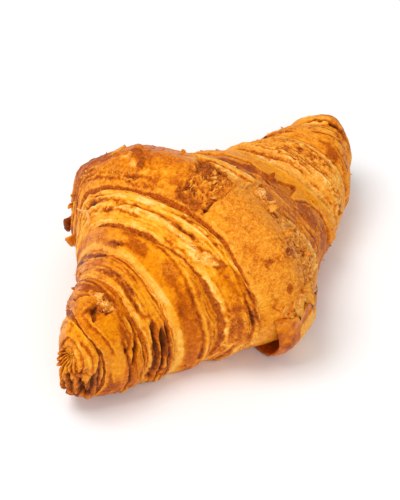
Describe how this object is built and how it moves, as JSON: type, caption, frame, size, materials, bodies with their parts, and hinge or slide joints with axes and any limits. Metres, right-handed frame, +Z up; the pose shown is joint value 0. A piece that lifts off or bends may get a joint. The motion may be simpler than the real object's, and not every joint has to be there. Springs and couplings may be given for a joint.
{
  "type": "croissant",
  "caption": "Straight baked butter croissant, a rolled spindle with stepped overlapping turns, blunt upturned tips and a loose curled tail beside its flat underside.",
  "frame": {"origin": "middle of the flat underside, under the widest part of the roll", "axes": "+X along the roll from the blunt near tip to the far tip, +Z up, +Y towards the roll's left side"},
  "size_m": [0.1532, 0.0998, 0.0618],
  "materials": {
    "baked_crust": "egg-washed, baked golden to reddish brown, satin sheen with matte flaky edges"
  },
  "bodies": {
    "root": {"croissant": "baked_crust"}
  },
  "joints": []
}
